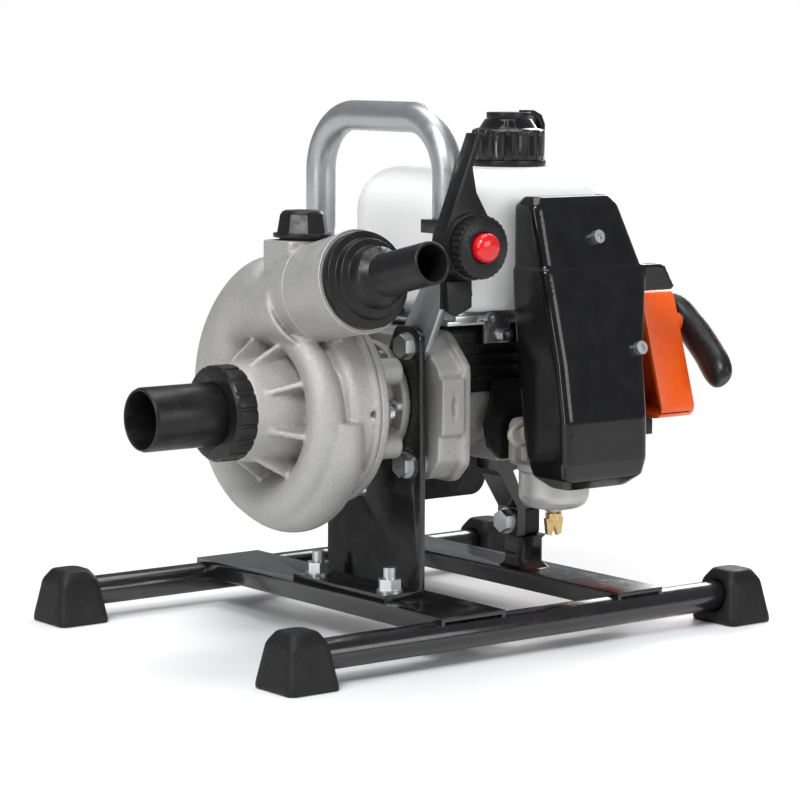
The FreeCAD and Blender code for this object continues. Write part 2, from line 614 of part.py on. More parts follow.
def fan_housing():
    """Die-cast cover round the flywheel, bolted to the mounting plate by its front pads."""
    body = fan_slab(0, FAN_X0, FAN_X1)
    flange = fan_slab(2.5, FAN_X1 - 6, FAN_X1)
    flange = flange.cut([box((FAN_X1 - 7, FAN_X1 - 4), (-80, AXIS_Y - 54.5), (z, z + 2))
                         for z in range(114, 186, 11)])
    back = PLATE_X + PLATE_T
    neck = turned([(back - 0.2, 18), (back - 0.2, 24.3), (back, 24.3), (back, 30), (FAN_X0, 34),
                   (FAN_X0, 18)])
    pads = [along_x(PLATE_X + PLATE_T + (5 if sz > 0 else 0), FAN_X0 + 4, 9, AXIS_Y + sy * BOLT_Y,
                    AXIS_Z + sz * BOLT_Z) for sy in (-1, 1) for sz in (-1, 1)]
    chamber = along_x(FAN_X0 + 3, FAN_X1 + 1, 41.2)
    bore = along_x(PLATE_X, FAN_X0 + 5, 18)
    threads = [along_x(PLATE_X, FAN_X0 + 9, 4, AXIS_Y + sy * BOLT_Y, AXIS_Z + sz * BOLT_Z)
               for sy in (-1, 1) for sz in (-1, 1)]
    return body.fuse([flange, neck, fan_pad()] + pads).cut([chamber, bore] + threads).removeSplitter()


def crankcase_half(front):
    """Half of the crankcase, split in the plane of the rod."""
    x = (FAN_X1, CYLINDER_X) if front else (CYLINDER_X, CASE_END)
    side = -1 if front else 1

    def half(width):
        return sorted((CYLINDER_X, CYLINDER_X + side * width))
    barrel = along_x(x[0], x[1], CASE_R)
    deck = box(half(32), (AXIS_Y, 20), (AXIS_Z - 32, AXIS_Z + 32))
    port = box(half(25), (-56, AXIS_Y), (CARB_Z - 13, CARB_Z + 27))
    pieces = [barrel, deck, port]
    if not front:
        pieces.append(box((CYLINDER_X, CYLINDER_X + 34), (AXIS_Y - 16, AXIS_Y + 16), (103, AXIS_Z)))
    body = pieces[0].fuse(pieces[1:])
    cavities = [along_x(CYLINDER_X - 17.5, CYLINDER_X + 17.5, 30),
                box((CYLINDER_X - 32, CYLINDER_X + 32), (20, 30), (AXIS_Z - 32, AXIS_Z + 32)),
                along_x(-5, 125, SHAFT_R + 1),
                along_x(30, 41, 17.5), along_x(80, 91, 17.5), along_x(24, 30, 13), along_x(91, 97, 13),
                rod((CYLINDER_X, -20, AXIS_Z), Y_AXIS, 23, 60),
                box((CYLINDER_X - 12, CYLINDER_X + 12), (-60, AXIS_Y), (CARB_Z - 6, CARB_Z + 14))]
    if front:
        cavities.append(along_x(-1, 18, 22))
    else:
        cavities.append(along_x(104, 130, 26))
    return body.cut(cavities).removeSplitter()


def cylinder():
    """Finned barrel, lying towards +Y, with the head in one piece."""
    spigot = rod((CYLINDER_X, 14, AXIS_Z), Y_AXIS, 22.9, 9)
    barrel = rod((CYLINDER_X, 20, AXIS_Z), Y_AXIS, 26, 78)
    base = box((CYLINDER_X - 30, CYLINDER_X + 30), (20, 26), (AXIS_Z - 30, AXIS_Z + 30))
    fins = []
    for i in range(9):
        y = 32 + 7.6 * i
        fin = box((CYLINDER_X - 38, CYLINDER_X + 38), (y, y + 2.2), (AXIS_Z - 38, AXIS_Z + 40))
        fins.append(soften(fin, 12, lambda e: runs_along(e, Y_AXIS)))
    port = box((CYLINDER_X - 14, CYLINDER_X + 14), (54, 76), (AXIS_Z - 42, AXIS_Z - 15))
    body = barrel.fuse([spigot, base, port] + fins)
    bore = rod((CYLINDER_X, 5, AXIS_Z), Y_AXIS, BORE_R, CROWN_Y + 1 - 5)
    dome = rod((CYLINDER_X, CROWN_Y, AXIS_Z), Y_AXIS, 12, 5)
    plug_hole = rod((CYLINDER_X, CROWN_Y, AXIS_Z), Y_AXIS, 7, 30)
    exhaust = box((CYLINDER_X - 9, CYLINDER_X + 9), (59, 71), (AXIS_Z - 43, AXIS_Z - 10))
    return body.cut([bore, dome, plug_hole, exhaust]).removeSplitter()


def spark_plug():
    y = 98.0
    shell = [(y - 12, 0), (y - 12, 7), (y, 7), (y, 10), (y + 2, 10), (y + 2, 7.5), (y + 9, 7.5)]
    insulator = [(y + 10, 5.2), (y + 26, 4.2), (y + 26, 1.8)]
    terminal = [(y + 29, 1.8), (y + 29, 3), (y + 34, 3), (y + 34, 0)]
    body = turned(shell + insulator + terminal, (CYLINDER_X, 0, AXIS_Z), Y_AXIS)
    return body.fuse(hexagon((CYLINDER_X, y + 2, AXIS_Z), Y_AXIS, 19, 6))


def muffler():
    """Pressed-steel box under the cylinder, with its outlet at the starter end."""
    can = box((24, 97), (30, 100), (72, 104))
    can = soften(can, 12, lambda e: runs_along(e, Y_AXIS))
    seam = box((21.5, 99.5), (62, 65), (70, 104))
    seam = soften(seam, 10, lambda e: runs_along(e, Y_AXIS) and e.Vertexes[0].Z < 85)
    outlet = ring((95, 82, 86), X_AXIS, 6, 5, 16)
    hollow = box((26, 95), (32, 98), (74, 102))
    mouth = along_x(90, 99, 5, 82, 86)
    inlet = box((CYLINDER_X - 9, CYLINDER_X + 9), (59, 71), (100, 106))
    return can.fuse([seam]).cut([hollow, mouth, inlet]).fuse(outlet).removeSplitter()


def cooling_shroud():
    """Dark moulded cover that leads the fan air over crankcase and cylinder."""
    x, y, z = (FAN_X1, 102), (-52, 98), (152, 193)
    outer = box(x, y, z)
    outer = soften(outer, 6, lambda e: runs_along(e, X_AXIS) and e.Vertexes[0].Z > 190)
    inner = box((x[0] - 1, x[1] + 1), (y[0] + 2, y[1] + 5), (z[0] - 2, z[1] - 2))
    ribs = [box((x[0], x[1]), (y[0] - 2, y[0] + 1), (zz, zz + 2)) for zz in (160, 167, 174, 181)]
    hole = rod((CYLINDER_X, 60, 190), Z_AXIS, 8, 10)
    return outer.cut([inner, hole]).fuse(ribs).removeSplitter()


def ignition_coil():
    core = box((10, 20), (-10, 14), (AXIS_Z + 37.2, AXIS_Z + 43))
    body = box((6, 23), (-4, 8), (AXIS_Z + 36.5, AXIS_Z + 43.5))
    return core.fuse(body)


# ---- fuel and air ----------------------------------------------------------------------------
def intake_block():
    """Moulded heat insulator with the reed passage, between crankcase and carburettor."""
    outline = [(31, 160), (92, 160), (95, 150), (95, 118), (86, 110), (36, 110), (27, 118), (24, 132),
               (29, 148)]
    plate = slab_xz(outline, -60, -56)
    neck = rod((CYLINDER_X, -64, CARB_Z), Y_AXIS, 12, 6)
    return plate.fuse(neck).cut(rod((CYLINDER_X, -70, CARB_Z), Y_AXIS, 8.5, 20))


def carburettor():
    y0, y1 = -102.0, -64.0
    body = box((CYLINDER_X - 17, CYLINDER_X + 17), (y0 + 6, y1 - 5), (BOWL_Z1 + 2, CARB_Z + 15))
    body = soften(body, 5, lambda e: runs_along(e, Y_AXIS))
    deck = rod((CYLINDER_X, CARB_Y, BOWL_Z1), Z_AXIS, BOWL_R + 1, 4)
    mouth = rod((CYLINDER_X, y0, CARB_Z), Y_AXIS, 17, 10)
    flange = box((CYLINDER_X - 22, CYLINDER_X + 22), (y1 - 6, y1), (CARB_Z - 15, CARB_Z + 15))
    flange = soften(flange, 6, lambda e: runs_along(e, Y_AXIS))
    inlet = rod((CYLINDER_X - 27, -84, CARB_Z + 1.5), X_AXIS, 2.4, 14)
    bore = rod((CYLINDER_X, y0 - 1, CARB_Z), Y_AXIS, 8, 50)
    body = body.fuse([deck, mouth, flange, inlet]).cut(bore)
    spindle_holes = [along_x(CYLINDER_X - 30, CYLINDER_X + 30, 2.05, y, CARB_Z) for y in (-74, -95)]
    return body.cut(spindle_holes).removeSplitter()


def float_bowl():
    """Zinc float chamber with a rounded lower edge."""
    z0, z1 = BOWL_Z0, BOWL_Z1
    cup = turned([(z0, 0), (z0, 15), (z0 + 1.6, 18.6), (z0 + 4.5, 21), (z0 + 8, BOWL_R), (z1, BOWL_R),
                  (z1, BOWL_R - 1.5), (z0 + 7, BOWL_R - 1.5), (z0 + 3, 16), (z0 + 2, 0)],
                 (CYLINDER_X, CARB_Y, 0), Z_AXIS)
    spout = rod((CYLINDER_X, CARB_Y, z0 - 3), Z_AXIS, 5.5, 4)
    return cup.fuse(spout).cut(rod((CYLINDER_X, CARB_Y, z0 - 4), Z_AXIS, 2.6, 8)).removeSplitter()


DRAIN_TOP = BOWL_Z0 - 3


def drain_screw():
    """Brass winged screw under the float chamber."""
    z = DRAIN_TOP
    stem = rod((CYLINDER_X, CARB_Y, z - 6), Z_AXIS, 2.5, 9)
    collar = rod((CYLINDER_X, CARB_Y, z - 5), Z_AXIS, 5.2, 4)
    outline = [(-7, z - 4), (7, z - 4), (5.6, z - 14), (2.6, z - 15), (0, z - 9), (-2.6, z - 15),
               (-5.6, z - 14)]
    wings = slab_xz(outline, CARB_Y - 1.3, CARB_Y + 1.3)
    wings.translate(V(CYLINDER_X, 0, 0))
    return stem.fuse([collar, wings]).removeSplitter()


def throttle_spindle():
    """Butterfly spindle across the carburettor, with its arm on the starter side."""
    spindle = along_x(CYLINDER_X - 19, CYLINDER_X + 25, 2.0, -74, CARB_Z)
    disc = rod((CYLINDER_X, -74.5, CARB_Z), Y_AXIS, 7.6, 1).cut(along_x(0, 200, 1.9, -74, CARB_Z))
    arm = slab_yz([(-77, CARB_Z - 3), (-71, CARB_Z - 3), (-71.5, CARB_Z + 16), (-76.5, CARB_Z + 16)],
                  CYLINDER_X + 22.5, CYLINDER_X + 25)
    return spindle.fuse([disc, arm]).removeSplitter()


def choke_spindle():
    """Choke plate spindle with a finger lever on the starter side."""
    spindle = along_x(CYLINDER_X - 19, CYLINDER_X + 21.2, 2.0, -95, CARB_Z)
    disc = rod((CYLINDER_X, -95.5, CARB_Z), Y_AXIS, 7.6, 1).cut(along_x(0, 200, 1.9, -95, CARB_Z))
    x0 = CYLINDER_X + 19
    outline = [(-98, CARB_Z - 3), (-92, CARB_Z - 3), (-90, CARB_Z + 12), (-92.5, CARB_Z + 16),
               (-95, CARB_Z + 12)]
    arm = slab_yz(outline, x0, x0 + 2.2)
    return spindle.fuse([disc, arm]).removeSplitter()


FUEL_ROUTE = [(74, -62, 205), (74, -62, 190), (72, -66, 172), (66, -71, 155), (56, -74, 143), (44, -77, 137),
              (35, -80, 134.5), (27, -82, 132), (23.5, -83, 128.3), (26, -83.7, 123.6), (29.5, -84, 122.5),
              (33.5, -84, 122.5)]


def fuel_hose():
    return swept(FUEL_ROUTE, 2.2, name="fuel_hose")


AIR_LEVELS = (                          # height, x limits, front y, back y
    (97.0, (38.0, 86.0), -122.0, -102.0),
    (104.0, (30.5, 93.5), -129.5, -94.0),
    (114.0, (29.0, 95.5), -131.0, -89.6),
    (140.0, (29.0, 96.5), -129.6, -85.0),
    (175.0, (29.0, 98.5), -123.5, -80.0),
    (214.0, (29.0, 109.0), -113.0, -75.5),
    (230.5, (29.0, 112.5), -108.0, -74.5),
    (231.5, (30.5, 110.5), -106.5, -74.5),
    (269.0, (30.5, 99.5), -96.5, -74.5),
    (274.5, (35.0, 95.0), -93.0, -78.0),
)


PANEL_SCREW_R = 2.2
LEAN = V(0, -math.cos(math.radians(15)), math.sin(math.radians(15)))
AIR_SCREW_SEATS = [(V(75, -101.8, 249), LEAN), (V(93.5, -121.8, 181), LEAN)]
TANK_SCREW_SEATS = [(V(24, -61, 198.7), V(0, -1, 0)), (V(37, -60, 188), V(0, -1, 0))]


def air_loft(inset, drop):
    """Outer or inner skin of the air cleaner cover."""
    wires = []
    for z, (x0, x1), front, back in AIR_LEVELS:
        z = min(max(z, AIR_LEVELS[0][0] + drop), AIR_LEVELS[-1][0] - drop)
        back_limit = back + 30 if inset else back
        wires.append(rounded_rect((x0 + inset, x1 - inset), (front + inset, back_limit), z, 5))
    return loft(wires)


def air_cover():
    """Glossy cover of the air cleaner: tapering upwards, front leaning back, open behind."""
    skin = air_loft(0, 0).cut(air_loft(2.5, 3))
    bowl_room = rod((CYLINDER_X, CARB_Y, 90), Z_AXIS, BOWL_R + 3, 26)
    holes = [rod(seat.sub(V(axis).multiply(6)), axis, PANEL_SCREW_R, 8) for seat, axis in AIR_SCREW_SEATS]
    holes += [rod(seat, axis, 5.5, 4) for seat, axis in AIR_SCREW_SEATS]
    wing_outline = [(102, 214.5), (134, 214.5), (136, 217), (128, 230), (124, 231.5), (102, 231.5)]
    wing = slab_xz(wing_outline, -108, -100)
    return skin.cut([bowl_room] + holes).fuse(wing).removeSplitter()


def air_base():
    """Back plate of the air cleaner, screwed to the carburettor mouth."""
    plate = box((32, 89), (-106, -103), (116, 196)).fuse(rod((CYLINDER_X, -106, CARB_Z), Y_AXIS, 12.5, 4))
    return plate.cut(rod((CYLINDER_X, -110, CARB_Z), Y_AXIS, 8, 12)).removeSplitter()


def filter_element():
    return box((36, 85), (-124, -106), (112, 154))


def panel_screws():
    """Two screws in the air cleaner cover, high and low, and two in the tank bracket."""
    return [cap_screw(seat, axis, PANEL_SCREW_R, 2.5) for seat, axis in AIR_SCREW_SEATS + TANK_SCREW_SEATS]


def fuel_tank():
    """Blow-moulded tank: rounded block with a threaded neck."""
    def block(inset):
        x = (TANK_X[0] + inset, TANK_X[1] - inset)
        y = (TANK_Y[0] + inset, TANK_Y[1] - inset)
        z = (TANK_Z[0] + inset, TANK_Z[1] - inset)
        solid = box(x, y, z)
        solid = soften(solid, 36 - inset, lambda e: runs_along(e, Z_AXIS))
        solid = soften(solid, 28 - inset, lambda e: e.BoundBox.ZMin > z[1] - 0.01)
        return soften(solid, 9 - inset, lambda e: e.BoundBox.ZMax < z[0] + 0.01)
    neck = rod((CAP_X, CAP_Y, TANK_Z[1] - 4), Z_AXIS, 17, 16)
    mouth = rod((CAP_X, CAP_Y, TANK_Z[1] - 6), Z_AXIS, 14.5, 20)
    outlet = rod((74, -62, TANK_Z[0] - 6), Z_AXIS, 2.2, 12)
    spigot = rod((74, -62, TANK_Z[0] - 5), Z_AXIS, 4.5, 6)
    return block(0).fuse([neck, spigot]).cut([block(2.5), mouth, outlet]).removeSplitter()


def tank_bracket():
    """Plated carrier under the tank, with a turned-down tab at the front."""
    plate = box((-6, 112), (-58, 30), (195, 197.5))
    lugs = [box((x, x + 16), (y, y + 12), (195, TANK_Z[0])) for x in (2, 92) for y in (-56, 16)]
    tab = box((22, 42), (-60, -57.5), (183, 197.5))
    lip = box((-2, 46), (-61, -56), (198, 201))
    riser = box((4, 40), (-58.5, -56), (195, 199))
    holes = [rod(seat.sub(V(axis).multiply(2.5)), axis, PANEL_SCREW_R, 3)
             for seat, axis in TANK_SCREW_SEATS]
    holes.append(rod((74, -62, 190), Z_AXIS, 9, 20))
    return plate.fuse(lugs + [tab, riser, lip]).cut(holes).removeSplitter()


CAP_BASE = TANK_Z[1] + 4.2


def fuel_cap():
    """Fluted screw cap with a waisted crown."""
    z = CAP_BASE
    skirt = [(z, 17.4), (z, 23), (z + 18, 22.6), (z + 19.5, 21), (z + 20, 18.5)]
    crown = [(z + 25.5, 15), (z + 25.5, 0), (z + 22.5, 0), (z + 22.5, 11), (z + 12, 11), (z + 12, 17.4)]
    body = turned(skirt + crown, (CAP_X, CAP_Y, 0), Z_AXIS)
    flutes = [rod((CAP_X + 24.2 * math.cos(a), CAP_Y + 24.2 * math.sin(a), z - 1), Z_AXIS, 2.0, 18)
              for a in [math.radians(20 * i) for i in range(18)]]
    return body.cut(flutes).removeSplitter()


def cap_gasket():
    return ring((CAP_X, CAP_Y, CAP_BASE + 8.1), Z_AXIS, 17.0, 12.5, 3.6)


def cap_strap():
    """Keeper: ring round the neck, strap up the starter side, and button on the crown."""
    z = CAP_BASE
    collar = ring((CAP_X, CAP_Y, z - 3.9), Z_AXIS, 24, 17.3, 3.6)
    button = rod((CAP_X, CAP_Y, z + 25.8), Z_AXIS, 14, 4)
    outline = [(24, -3.9), (27, -3.9), (27.3, 22), (24.5, 28), (18, 31), (12, 31), (12, 27.3),
               (18, 27.3), (22, 24.5), (24, 20)]
    strap = slab_xz([(CAP_X + x, z + h) for x, h in outline], CAP_Y - 4, CAP_Y + 4)
    root = box((CAP_X + 20, CAP_X + 27), (CAP_Y - 4, CAP_Y + 4), (z - 3.9, z - 0.3))
    return collar.fuse([button, strap, root]).removeSplitter()


# ---- throttle control on the handle ----------------------------------------------------------
LEG_Y = AXIS_Y - HANDLE_HALF


def throttle_clamp():
    """Moulded clamp round the handle leg, with the pivot boss and a tail below it."""
    block = box((HANDLE_X - 11.5, HANDLE_X + 11.5), (LEVER_Y, LEG_Y + 11.5), (254, 262))
    disc = rod((HANDLE_X, LEVER_Y, LEVER_Z), Y_AXIS, 18, 2.0)
    post = rod((HANDLE_X, LEVER_Y - HUB_DEPTH - 10, LEVER_Z), Y_AXIS, 3.0, HUB_DEPTH + 10)
    web = box((HANDLE_X - 11.5, HANDLE_X + 11.5), (LEVER_Y, LEVER_Y + 2), (209, 262))
    tail_outline = [(-33, 208), (-27, 205), (-17, 209), (-15, 218), (-17, 226), (-35, 226)]
    tail = slab_xz(tail_outline, LEVER_Y - 5, LEVER_Y)
    body = block.fuse([disc, web, post, tail])
    leg = rod((HANDLE_X, LEG_Y, 200), Z_AXIS, HANDLE_R, 100)
    well = rod((HANDLE_X, LEVER_Y - HUB_DEPTH - 11, LEVER_Z), Y_AXIS, 1.5, 14)
    return body.cut([leg, well]).removeSplitter()


def throttle_lever():
    """Blade that swings about the boss."""
    y0, y1 = LEVER_Y - 11, LEVER_Y - GAP
    outline = [(-17, 314), (-12.5, 314), (-20.5, 294), (-17.5, 279), (-7, 262), (-7, 247), (-40, 247),
               (-40.5, 257)]
    blade = slab_xz(outline, y0, y0 + 4.5)
    spine = slab_xz([(-17, 314), (-14.5, 314), (-37, 255), (-40.5, 257)], y0, y1)
    hub = rod((HANDLE_X, LEVER_Y - HUB_DEPTH, LEVER_Z), Y_AXIS, 20, HUB_DEPTH - GAP)
    pivot = rod((HANDLE_X, LEVER_Y - HUB_DEPTH - 1, LEVER_Z), Y_AXIS, 3.0 + GAP, 20)
    return blade.fuse([spine, hub]).cut(pivot).removeSplitter()


def throttle_dial():
    """Knurled friction knob in front of the lever."""
    y1 = LEVER_Y - HUB_DEPTH - GAP
    knob = turned([(0, 3.3), (0, 18), (1, 19), (8, 19), (9.5, 17), (9.5, 9.4), (4, 9.4), (4, 3.3)],
                  (HANDLE_X, y1, LEVER_Z), V(0, -1, 0))
    notches = [rod((HANDLE_X + 19.4 * math.cos(a), y1 - 12, LEVER_Z + 19.4 * math.sin(a)), Y_AXIS, 1.2, 14)
               for a in [math.radians(12 * i) for i in range(30)]]
    return knob.cut(notches)


def stop_button():
    """Red push button seated in the dial."""
    y = LEVER_Y - HUB_DEPTH - GAP
    profile = [(7.3, 3.4), (7.3, 8.8), (12.5, 8.8), (14.6, 7.6), (16.0, 4.6), (16.6, 0), (13.4, 0),
               (13.4, 3.4)]
    return turned(profile, (HANDLE_X, y, LEVER_Z), V(0, -1, 0))


# ---- recoil starter --------------------------------------------------------------------------
def starter_base():
    """Spacer ring between crankcase and starter housing."""
    x0 = CASE_END
    x1 = STARTER_X0
    body = turned([(x0, 27), (x0, 37), (x1 - 4, 46), (x1, 46), (x1, 40), (x1 - 6, 40), (x0 + 3, 33),
                   (x0 + 3, 27)])
    foot_block = box((STARTER_X0 - 14, STARTER_X0), (-88, -50), (121, 131))
    arm = box((STARTER_X0 - 6, STARTER_X0), (-66, -52), (124, 150))
    return body.fuse([foot_block, arm]).cut(along_x(x0 - 1, STARTER_X0 + 1, 33)).removeSplitter()


def ear_outline(inset):
    """Rope guide box beside the starter drum; its front leans back like the air cleaner."""
    return [(-75 + inset, 211 - inset), (-99 + inset, 131 + inset), (-52, 131 + inset), (-40, 150),
            (-40, 185), (-50, 211 - inset)]


def starter_housing():
    """Orange cover: shallow drum with the rope guide box on its -Y side."""
    drum = along_x(STARTER_X0, STARTER_X1, STARTER_R)
    ear = slab_yz(ear_outline(0), STARTER_X0, STARTER_X1)
    ear = soften(ear, 7, lambda e: runs_along(e, X_AXIS) and e.Vertexes[0].Y < -60)
    body = drum.fuse(ear)
    hollow = along_x(STARTER_X0 - 1, STARTER_X1 - 3, STARTER_R - 3)
    hollow_ear = slab_yz(ear_outline(3), STARTER_X0 - 1, STARTER_X1 - 3)
    boss = along_x(STARTER_X1 - 3, STARTER_X1 + 4, 6.5, ROPE_Y, ROPE_Z)
    post = along_x(STARTER_X0 + 4, STARTER_X1 - 2, 6)
    guide = along_x(STARTER_X0, STARTER_X1 + 10, ROPE_R + 1.0, ROPE_Y, ROPE_Z)
    vents = []
    for i in range(12):
        a = math.radians(30 * i + 15)
        y, z = AXIS_Y + 32 * math.cos(a), AXIS_Z + 32 * math.sin(a)
        vents.append(along_x(STARTER_X1 - 5, STARTER_X1 + 1, 3.6, y, z))
    return body.cut([hollow, hollow_ear]).fuse([boss, post]).cut([guide] + vents).removeSplitter()


PULLEY_X0, PULLEY_X1, PULLEY_R = STARTER_X0 + 3, STARTER_X0 + 13, 30.0


def rope_pulley():
    """Grooved reel that the rope winds on, turning on the housing's post."""
    x0, x1 = PULLEY_X0, PULLEY_X1
    return turned([(x0, 6.05), (x0, PULLEY_R), (x0 + 2, PULLEY_R), (x0 + 2.5, 24), (x1 - 2.5, 24),
                   (x1 - 2, PULLEY_R), (x1, PULLEY_R), (x1, 6.05)])


def starter_cup():
    """Ratchet cup on the crankshaft, driven by the pulley's pawls."""
    x0 = STARTER_X0 - 18
    return turned([(x0, SHAFT_R), (x0, 24), (x0 + 14, 24), (x0 + 14, 21.5), (x0 + 2.5, 21.5),
                   (x0 + 2.5, 12), (x0 + 10, 12), (x0 + 10, SHAFT_R)])


GRIP_MID = (STARTER_X1 + 13.7, ROPE_Y - 9.0, ROPE_Z - 8.0)
GRIP_DIR = (0.0, -0.75, -0.66)
GRIP_SECTIONS = (                       # distance along the bar, half width, half depth, bow
    (-31, 5.5, 5, 3.5), (-27.5, 9, 7.5, 2.6), (-14, 10.5, 8.2, 0.6), (0, 11, 8.6, 0),
    (18, 11, 8.6, 1), (34, 10.5, 8, 3.5), (39, 8.5, 6.5, 4.3), (41.5, 4, 3.5, 4.8),
)


def pull_grip():
    """Curved bar handle across the rope, with a short stem."""
    mid, along = V(*GRIP_MID), V(*GRIP_DIR).normalize()
    outward = V(along).cross(X_AXIS).normalize()
    turn = FreeCAD.Rotation(outward, X_AXIS, along, "ZXY")
    wires = []
    for distance, half_width, half_depth, bow in GRIP_SECTIONS:
        centre = mid.add(V(along).multiply(distance)).add(V(-bow, 0, 0))
        wire = Part.Wire(Part.Ellipse(V(0, 0, 0), half_width, half_depth).toShape())
        wire.Placement = FreeCAD.Placement(centre, turn)
        wires.append(wire)
    bar = Part.makeLoft(wires, True, False)
    stem = along_x(STARTER_X1 + 4 + GAP, GRIP_MID[0] - 2, 4.5, ROPE_Y, ROPE_Z)
    return bar.fuse(stem).cut(along_x(STARTER_X1, GRIP_MID[0] - 1, ROPE_R, ROPE_Y, ROPE_Z)).removeSplitter()


def starter_rope():
    """Length of rope between the pulley and the grip's knot."""
    return along_x(PULLEY_X1 + 2, GRIP_MID[0] - 1, ROPE_R - 0.05, ROPE_Y, ROPE_Z)


# ---- rear support ----------------------------------------------------------------------------
def mount_hole():
    return along_x(ARM_X - 5, ARM_X + 14, 4.0, AXIS_Y, 61)


def engine_arm():
    """Curved arm from the crankcase sole down to the rubber mount."""
    outline = [(62, 103), (92, 103), (92, 99), (76, 95), (ARM_X + 6.5, 73), (ARM_X + 6.5, 52), (ARM_X, 52),
               (ARM_X, 70), (66, 92), (62, 96)]
    return slab_xz(outline, AXIS_Y - 10, AXIS_Y + 10).cut(mount_hole())


def mount_rubber():
    block = box((ARM_X + 6.5, 100), (AXIS_Y - 8, AXIS_Y + 8), (51, 69))
    return soften(block, 3, lambda e: runs_along(e, X_AXIS)).cut(mount_hole())


def mount_pedestal():
    """Small waisted pedestal welded on the rear crossbar."""
    z0 = BAR_TOP
    hat = loft([rounded_rect((82, 106), (AXIS_Y - 13, AXIS_Y + 13), z0, 3),
                rounded_rect((84, 103), (AXIS_Y - 9.5, AXIS_Y + 9.5), z0 + 4, 3),
                rounded_rect((84, 103), (AXIS_Y - 9.5, AXIS_Y + 9.5), 48.5, 3),
                rounded_rect((82.5, 105), (AXIS_Y - 11, AXIS_Y + 11), 51, 3)])
    return hat


def build():
    os.makedirs("parts", exist_ok=True)
    save("skid_rails", rail(-1), rail(1))
    save("pump_crossbar", crossbar(PUMP_BAR))
    save("engine_crossbar", crossbar(ENGINE_BAR).fuse(mount_pedestal()))
    save("rubber_feet", *feet())
    save("mounting_plate", mounting_plate())
    save("plate_foot_studs", *foot_studs())
    save("carry_handle", carry_handle())
    save("frame_bolts", *frame_bolts())
    save("volute_casing", volute_casing())
    save("suction_barb", suction_barb())
    save("suction_collar", suction_collar())
    save("discharge_barb", discharge_barb())
    save("priming_plug", priming_plug())
    save("priming_gasket", priming_gasket())
    save("impeller", impeller())
    save("pump_back_cover", pump_back_cover())
    save("casing_screws", *casing_screws())
    save("seal_head", seal_head())
    save("crankshaft_halves", crank_half(True), crank_half(False))
    save("flywheel", flywheel())
    save("main_bearings", *main_bearings())
    save("piston", piston())
    save("connecting_rod", connecting_rod())
    save("rod_pins", gudgeon_pin(), crankpin())
    save("fan_housing", fan_housing())
    save("crankcase_front", crankcase_half(True))
    save("crankcase_rear", crankcase_half(False))
    save("cylinder", cylinder())
    save("spark_plug", spark_plug())
    save("muffler", muffler())
    save("cooling_shroud", cooling_shroud())
    save("ignition_coil", ignition_coil())
    save("intake_block", intake_block())
    save("carburettor", carburettor())
    save("float_bowl", float_bowl())
    save("drain_screw", drain_screw())
    save("throttle_spindle", throttle_spindle())
    save("choke_spindle", choke_spindle())
    save("fuel_hose", fuel_hose())
    save("air_cleaner_cover", air_cover())
    save("air_cleaner_base", air_base())
    save("filter_element", filter_element())
    save("panel_screws", *panel_screws())
    save("fuel_tank", fuel_tank())
    save("tank_bracket", tank_bracket())
    save("fuel_cap", fuel_cap())
    save("cap_gasket", cap_gasket())
    save("cap_strap", cap_strap())
    save("throttle_clamp", throttle_clamp())
    save("throttle_lever", throttle_lever())
    save("throttle_dial", throttle_dial())
    save("stop_button", stop_button())
    save("starter_base", starter_base())
    save("starter_housing", starter_housing())
    save("rope_pulley", rope_pulley())
    save("starter_cup", starter_cup())
    save("pull_grip", pull_grip())
    save("starter_rope", starter_rope())
    save("engine_arm", engine_arm())
    save("mount_rubber", mount_rubber())


build()
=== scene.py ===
"""Looks of the portable fire pump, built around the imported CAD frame. Metres, +Z up."""
import json
import math

import bmesh
import bpy
from mathutils import Matrix, Vector


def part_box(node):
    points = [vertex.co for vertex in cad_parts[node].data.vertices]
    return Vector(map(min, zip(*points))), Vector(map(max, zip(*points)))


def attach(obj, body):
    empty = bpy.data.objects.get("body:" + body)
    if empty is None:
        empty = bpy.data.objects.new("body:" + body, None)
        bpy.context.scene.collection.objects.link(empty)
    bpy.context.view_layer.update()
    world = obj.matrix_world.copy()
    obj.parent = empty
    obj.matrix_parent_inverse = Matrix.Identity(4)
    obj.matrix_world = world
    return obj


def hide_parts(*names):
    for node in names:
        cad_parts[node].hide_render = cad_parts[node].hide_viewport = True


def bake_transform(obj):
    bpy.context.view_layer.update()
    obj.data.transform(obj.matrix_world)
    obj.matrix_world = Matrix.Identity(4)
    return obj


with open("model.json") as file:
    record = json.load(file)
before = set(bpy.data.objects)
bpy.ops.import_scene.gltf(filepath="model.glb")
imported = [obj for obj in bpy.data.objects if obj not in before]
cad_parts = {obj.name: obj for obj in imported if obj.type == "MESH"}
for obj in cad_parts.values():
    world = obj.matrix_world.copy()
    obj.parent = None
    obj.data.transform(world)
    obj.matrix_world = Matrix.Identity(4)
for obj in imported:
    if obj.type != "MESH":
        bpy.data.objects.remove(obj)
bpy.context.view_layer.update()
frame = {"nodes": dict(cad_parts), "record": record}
NODES = frame["nodes"]
BODY_OF = {n: b for b, members in frame["record"]["behaviour"]["bodies"].items() for n in members}
MM = 0.001
PUMP_AXIS = Vector((0, -0.014, 0.147))
VOLUTE_X = -0.0895
SNAIL_FRONT = -0.1115                   # plane that the raised ring's front touches
OUTLET_TILT, OUTLET_RISE = math.radians(12.6), 0.0643
SMOOTH_ANGLE, BEVEL_ANGLE = math.radians(35), math.radians(38)


